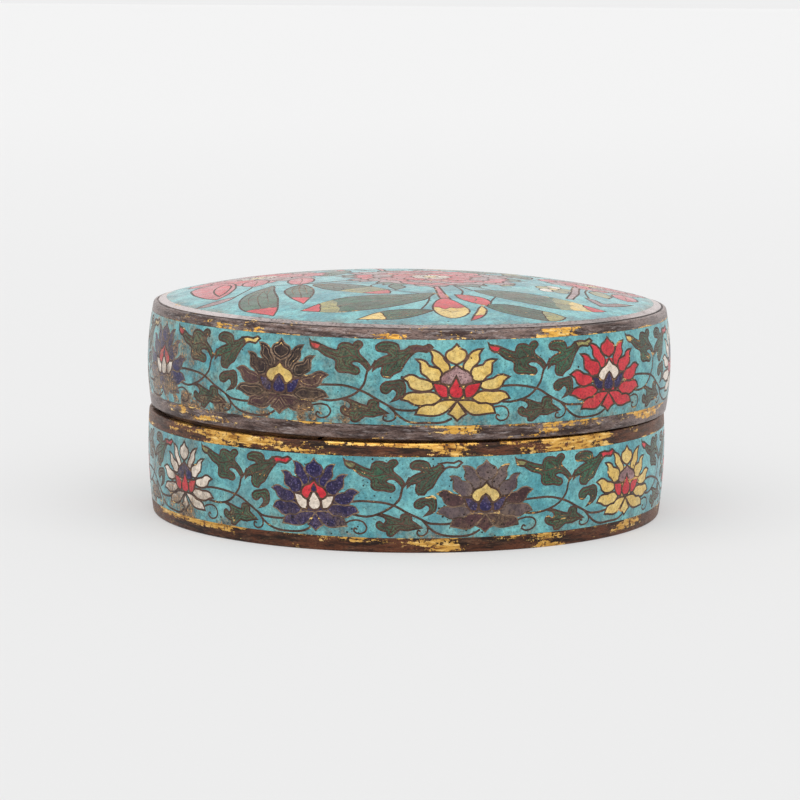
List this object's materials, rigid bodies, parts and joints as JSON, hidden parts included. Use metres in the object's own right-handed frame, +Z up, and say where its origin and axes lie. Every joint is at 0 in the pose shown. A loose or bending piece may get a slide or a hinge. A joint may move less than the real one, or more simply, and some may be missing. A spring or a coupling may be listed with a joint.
{
  "type": "round enamelled box with cover",
  "caption": "Low round copper box with a domed lift-off lid, enamelled in lotus scroll between worn gilt rims.",
  "frame": {"origin": "on the axis of the base, on the plane that its foot ring stands on", "axes": "+Z up along the axis of the base, -Y towards the front, +X to the right"},
  "size_m": [0.1259, 0.1258, 0.0562],
  "materials": {
    "worn_gilt_copper": "satin",
    "flange_copper": "satin",
    "band_enamel": "satin",
    "dome_enamel": "satin"
  },
  "bodies": {
    "root": {"base_body": "worn_gilt_copper", "base_enamel_band": "band_enamel", "base_flange": "flange_copper", "lid_body": "worn_gilt_copper", "lid_enamel_band": "band_enamel", "lid_enamel_dome": "dome_enamel"}
  },
  "joints": []
}
